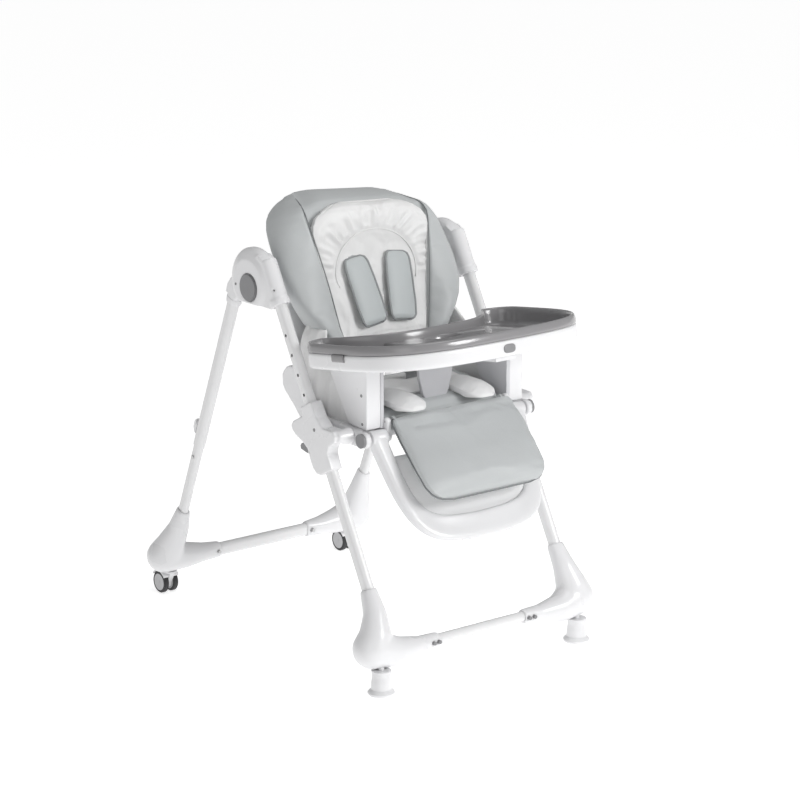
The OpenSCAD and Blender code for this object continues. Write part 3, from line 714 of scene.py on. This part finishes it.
obj = cushion("calf_pad_cover", CALF, CALF_ROWS, SOFT, "leg_rest", columns=61, rows=45, power=6,
              ripple=calf_creases)
puff(obj, 1.2, 2.5, frames=10, slack=0.004)
subdivide(obj)
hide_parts("calf_pad")
low, high = CALF_ROWS[0][0], CALF_ROWS[-1][0]
ws = [low + (high - low) * k / 40 for k in range(41)]
loop = [CALF(-blendtab(w, CALF_ROWS, 1) - 1, 7, w) for w in ws]
loop += [CALF(blendtab(w, CALF_ROWS, 1) + 1, 7, w) for w in reversed(ws)]
# the piping's dark colour is painted shade round the calf pad's edge
tube("calf_piping", loop, 0.0016, PIPING_PAINTED_SHADE, "leg_rest", closed=True)
paint(frame["nodes"]["calf_board"], SOFT)

# ---------------------------------------------------------------- harness
ribbon("crotch_webbing", smooth_line([at(0, -168, 570), at(0, -170, 585), at(0, -168, 600)]), (1, 0, 0), 0.03, 0.002,
       WEB, "seat")
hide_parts("crotch_strap")
for side, name in ((-1, "left"), (1, "right")):
    belt = smooth_line([at(side * 120, -95, 596), at(side * 80, -130, 610), at(side * 40, -152, 616),
                        at(side * 18, -160, 618)])
    ribbon(f"waist_strap_{name}", belt, (0, 0.3, 1), 0.026, 0.002, WEB, "seat")

# ---------------------------------------------------------------- tray
TILT = math.radians(8.5)
TRAY_FRONT, TRAY_REAR, TRAY_Z, TRAY_HALF, TRAY_TURN, CORNER = -499, -144, 637.5, 277, -243, 60


def tray_at(x, y, h):
    d = y - TRAY_REAR
    return at(x, TRAY_REAR + d * math.cos(TILT) + h * math.sin(TILT),
              TRAY_Z - d * math.sin(TILT) + h * math.cos(TILT))


def tray_half(m):
    """Right half of the tray's outline pulled in by m: front curve, corner, recess for the child."""
    out = []
    for i in range(33):
        a = math.pi / 2 * i / 32
        out.append(((TRAY_HALF - m) * math.sin(a) ** (2 / 3.2),
                    TRAY_TURN - (TRAY_TURN - TRAY_FRONT - m) * math.cos(a) ** (2 / 3.2)))
    for i in range(13):
        a = math.pi / 2 * i / 12
        out.append((TRAY_HALF - CORNER + (CORNER - m) * math.cos(a), TRAY_REAR - CORNER + (CORNER - m) * math.sin(a)))
    for i in range(20, -1, -1):
        x = (TRAY_HALF - CORNER - 2) * i / 20
        out.append((x, min(TRAY_REAR, -262 + 118 * (x / 214) ** 3) - m))
    return out


def tray_ring(m, h):
    half = tray_half(m)
    full = half + [(-x, y) for x, y in reversed(half[1:-1])]
    return [tray_at(x, y, h) for x, y in full]


def tray_shell(name, profile, mat, body):
    return loft(name, [tray_ring(m, h) for m, h in profile], mat, body)


base = tray_shell("tray_base_shell", [(16, 4), (14, 0.6), (10, 0), (5, 0.8), (2, 2.6), (0.4, 6), (0, 11), (0, 26),
                                      (0.3, 30), (1.4, 32.6), (3, 33.8), (6, 34), (9, 33.6), (9, 12), (12, 8)],
                  WHITE, "tray")
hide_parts("tray_base")
insert = tray_shell("tray_insert_shell", [
    (15, 8), (11, 11), (9.6, 16), (9.2, 33), (4, 34.3), (0.8, 35), (0.1, 36.6), (0.3, 42), (1.2, 48), (2.4, 51.6),
    (4.2, 53.7), (6, 54), (7.4, 53.4), (8.6, 51.6), (9.6, 48), (10.4, 40), (11.4, 26), (13, 19), (16, 16.2),
    (22, 15)], TRAY, "insert")
STEP = 128                     # half-width of the raised middle of the tray, mm


def middle_ring(m, h):
    """The tray outline clipped to the raised middle."""
    half = []
    for x, y in tray_half(m + 9.5):
        edge = STEP - m
        if x > edge:
            x, y = edge, min(y, -262 + 118 * (edge / 214) ** 3 - m - 9.5)
        half.append((x, y))
    full = half + [(-x, y) for x, y in reversed(half[1:-1])]
    return [tray_at(x, y, h) for x, y in full]


middle = loft("tray_middle", [middle_ring(m, h) for m, h in
                              ((4, 15.5), (3, 16), (1.6, 17), (0.8, 20), (0.4, 28), (0.8, 32), (2.2, 34.8), (4.4, 36),
                               (8, 36.2))], TRAY, "insert")


def cut(obj, cutter_rings):
    """Takes the space inside the rings out of a piece."""
    cutter = loft("cutter", cutter_rings, obj.data.materials[0], "insert")
    mod = obj.modifiers.new("cut", "BOOLEAN")
    mod.object, mod.operation, mod.solver = cutter, "DIFFERENCE", "EXACT"
    apply_modifiers(obj)
    obj.data.set_sharp_from_angle(angle=math.radians(50))
    bpy.data.objects.remove(cutter)


def cup(cx, cy, rx, ry, profile):
    """Rings of an oval well: (share of the radius, height above the tray's underside)."""
    return [[tray_at(cx + k * rx * math.cos(a), cy + k * ry * math.sin(a), h)
             for a in (2 * math.pi * i / 64 for i in range(64))] for k, h in profile]


CUP = (-18, -305, 44, 30)      # middle and radii of the cup well, mm
cut(middle, cup(*CUP, [(0.7, 19), (0.86, 20), (0.93, 22), (0.97, 28), (1.0, 34), (1.04, 35.6),
                                    (1.08, 36.4), (1.12, 38)]))
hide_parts("tray_insert")
for side, name in ((-1, "left"), (1, "right")):
    y0, y1 = -309, -270
    tab = [[tray_at(side * x, y, h) for x, h in ((TRAY_HALF - 2, 35), (TRAY_HALF + 1.5, 35), (TRAY_HALF + 2.6, 33),
                                                 (TRAY_HALF + 2.6, 23), (TRAY_HALF + 1.6, 20), (TRAY_HALF - 2, 20))]
           for y in (y0, y0 + 2, y1 - 2, y1)]
    loft(f"tray_clip_{name}", tab, TRAY, "insert")

# ---------------------------------------------------------------- moulded plastic pieces
for node, voxel, rounds in (("front_boot_left", 3, 22), ("front_boot_right", 3, 22), ("rear_boot_left", 3, 22),
                            ("rear_boot_right", 3, 22), ("hub_housing_left", 2, 6), ("hub_housing_right", 2, 6),
                            ("slider_left", 2, 9), ("slider_right", 2, 9),
                            ("side_panel_left", 2.5, 3), ("side_panel_right", 2.5, 3), ("seat_frame", 3, 4)):
    moulded(node, voxel, rounds, WHITE)
for side, name in ((-1, "left"), (1, "right")):
    # room for the fold button to be pressed in
    button = [v.co / MM for v in frame["nodes"][f"fold_button_{name}"].data.vertices]
    mid_y, mid_z = (sum(f(c[i] for c in button) for f in (min, max)) / 2 for i in (1, 2))
    reach = max(c[1] for c in button) - mid_y + 0.8
    inner = min(abs(c[0]) for c in button) - 4.6
    cut(bpy.data.objects[f"hub_housing_{name}_moulded"],
        [[Vector((side * x, mid_y + reach * math.cos(a), mid_z + reach * math.sin(a))) * MM
          for a in (2 * math.pi * i / 96 for i in range(96))] for x in (inner, inner + 30)])
shell = moulded("back_shell", 2.5, 3, WHITE)
for v in shell.data.vertices:
    # the top corners round off behind the cover
    x, w = v.co.x / MM, (v.co - BACK.origin).dot(BACK.along) / MM
    rise = max(0, min(1, (w - 250) / 120))
    v.co += BACK.along * (sag(x, w) - 0.004 * rise * max(0, abs(x) - 90) ** 2) * MM
    v.co.x *= 1 - 0.06 * rise ** 2
divider = moulded("crotch_divider", 1.6, 4, DIVIDER)
for v in divider.data.vertices:
    v.co.z -= 0.003 * max(0, min(1, (0.58 - v.co.z) / 0.03))

# A moulded rib runs round the rear face of the back shell.
rib = []
for cx, cw, start in ((112, 300, 0), (-112, 300, 90), (-112, 92, 180), (112, 92, 270)):
    for k in range(9):
        a = math.radians(start + 90 * k / 8)
        rib.append(BACK(cx + 45 * math.cos(a), -4.6, cw + 45 * math.sin(a)))
tube("back_shell_rib", rib, 0.003, WHITE, "backrest", closed=True)

# The footrest is a U-shaped board: (outer across, outer down, inner across, inner down, half thickness, lift).
HOOP = Place(at(0, *LEG_PIVOT), (0, -0.83, 0.557), (0, -0.557, -0.83))
HOOP_ROWS = [
    (202, -15, 170, -15, 4, 0), (204, -13, 168, -13, 9, 0), (205, -8, 166, -6, 14, 0), (205, 4, 166, 6, 15.5, 0),
    (200, 40, 162, 42, 15.5, -3), (193, 92, 156, 92, 15, -6), (185, 145, 147, 134, 13.5, -6),
    (170, 192, 130, 168, 12, -4), (145, 224, 106, 186, 11, -1), (107, 243, 74, 194, 10.5, 1),
    (56, 251, 36, 197, 10, 2), (0, 253, 0, 198, 10, 2)]


def build_footrest():
    right = [Vector(row) for row in HOOP_ROWS]
    rows = right + [Vector((-r[0], r[1], -r[2], r[3], r[4], r[5])) for r in reversed(right[:-1])]
    fine = []
    for i in range(len(rows) - 1):
        a, b, c, d = rows[max(0, i - 1)], rows[i], rows[i + 1], rows[min(len(rows) - 1, i + 2)]
        for k in range(8):
            fine.append(catmull_rom(a, b, c, d, k / 8))
    fine.append(rows[-1])
    rings = []
    for xo, do, xi, di, half, lift in fine:
        wide = max(0, min(1, (math.hypot(xo - xi, do - di) - 42) / 28))
        ring = []
        for k in range(40):
            a = 2 * math.pi * k / 40
            c, s = math.cos(a), math.sin(a)
            t = 0.5 + 0.5 * math.copysign(abs(c) ** 0.62, c)
            n = math.copysign(abs(s) ** 0.7, s) * half
            # a raised lip along the inner edge and a hollow face below it
            n += wide * (7 * t ** 6 - 4 * math.sin(math.pi * min(1, t * 1.1)) * (s > 0))
            ring.append(HOOP(xo + (xi - xo) * t, n + lift, do + (di - do) * t))
        rings.append(ring)
    obj = loft("footrest_hoop", rings, WHITE, "footrest_hoop")
    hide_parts("footrest")
    for side, name in ((-1, "left"), (1, "right")):
        barrel = [[at(side * x, LEG_PIVOT[0] + r * math.cos(a), LEG_PIVOT[1] + r * math.sin(a))
                   for a in (2 * math.pi * k / 40 for k in range(40))]
                  for x, r in ((203, 12), (203.5, 15), (202, 16.5), (166, 16.5), (162.5, 16), (161, 14), (161, 6))]
        loft(f"footrest_barrel_{name}", barrel, WHITE, "footrest_hoop")
    # the dished panel that closes the board behind the calf pad; it uses a lighter copy of the white plastic, painted
    # light that lifts the shade under the pad
    rings = []
    for i in range(15):
        d = 46 + (202 - 46) * i / 14
        half = float(np.interp(d, (46, 92, 145, 178, 192, 202), (168, 163, 152, 133, 114, 96)))
        us = [-1 + 2 * j / 20 for j in range(21)]
        rings.append([HOOP(half * u, 2 - 6 * (1 - u * u), d) for u in us]
                     + [HOOP(half * u, -3 - 6 * (1 - u * u), d) for u in reversed(us)])
    loft("footrest_panel", rings, WHITE_PAINTED_LIGHT, "footrest_hoop")


build_footrest()

# a plain blank plate on the front of the tray
plate = []
for k, h in ((1, -1), (1, 1.2), (0.94, 1.8), (0.5, 1.9)):
    plate.append([tray_at(k * 15 * math.copysign(abs(math.cos(a)) ** 0.6, math.cos(a)),
                          TRAY_FRONT - h, 17 + k * 9 * math.copysign(abs(math.sin(a)) ** 0.8, math.sin(a)))
                  for a in (2 * math.pi * i / 40 for i in range(40))])
loft("tray_plate", plate, GREY, "tray")


# ---------------------------------------------------------------- screws
def screw(name, node, side, y, z, radius):
    """A dark countersunk head on the outer face of a moulding."""
    solid = bpy.data.objects[node + "_moulded"]
    tree = BVHTree.FromPolygons([v.co for v in solid.data.vertices], [p.vertices[:] for p in solid.data.polygons])
    hit = tree.ray_cast(at(side * 400, y, z), Vector((-side, 0, 0)))[0]
    if hit is None:
        return
    face = hit.x / MM
    rings = [[at(face + side * h, y + k * radius * math.cos(a), z + k * radius * math.sin(a))
              for a in (2 * math.pi * i / 24 for i in range(24))]
             for k, h in ((1, -3), (1, 0.3), (0.9, 0.7), (0.6, 0.7), (0.5, -0.2))]
    loft(name, rings, DARK, BODY_OF[node])


for side, name in ((-1, "left"), (1, "right")):
    screw(f"panel_screw_a_{name}", f"side_panel_{name}", side, -270, 594, 3.2)
    screw(f"panel_screw_b_{name}", f"side_panel_{name}", side, -273, 534, 2.8)
    screw(f"slider_screw_{name}", f"slider_{name}", side, -186, 513, 3.4)
    screw(f"hub_screw_a_{name}", f"hub_housing_{name}", side, 80, 776, 2.6)
    screw(f"hub_screw_b_{name}", f"hub_housing_{name}", side, -46, 782, 2.6)

# ---------------------------------------------------------------- floor
bpy.ops.mesh.primitive_plane_add(size=120)
floor = bpy.context.object
floor.name = "floor"
ground = shader("ground", (0.8, 0.8, 0.8), 0.8, spread=0.0)[0]
bsdf = ground.node_tree.nodes["Principled BSDF"]
bsdf.inputs["Emission Color"].default_value = (1, 1, 1, 1)
bsdf.inputs["Emission Strength"].default_value = 0.7
paint(floor, ground)
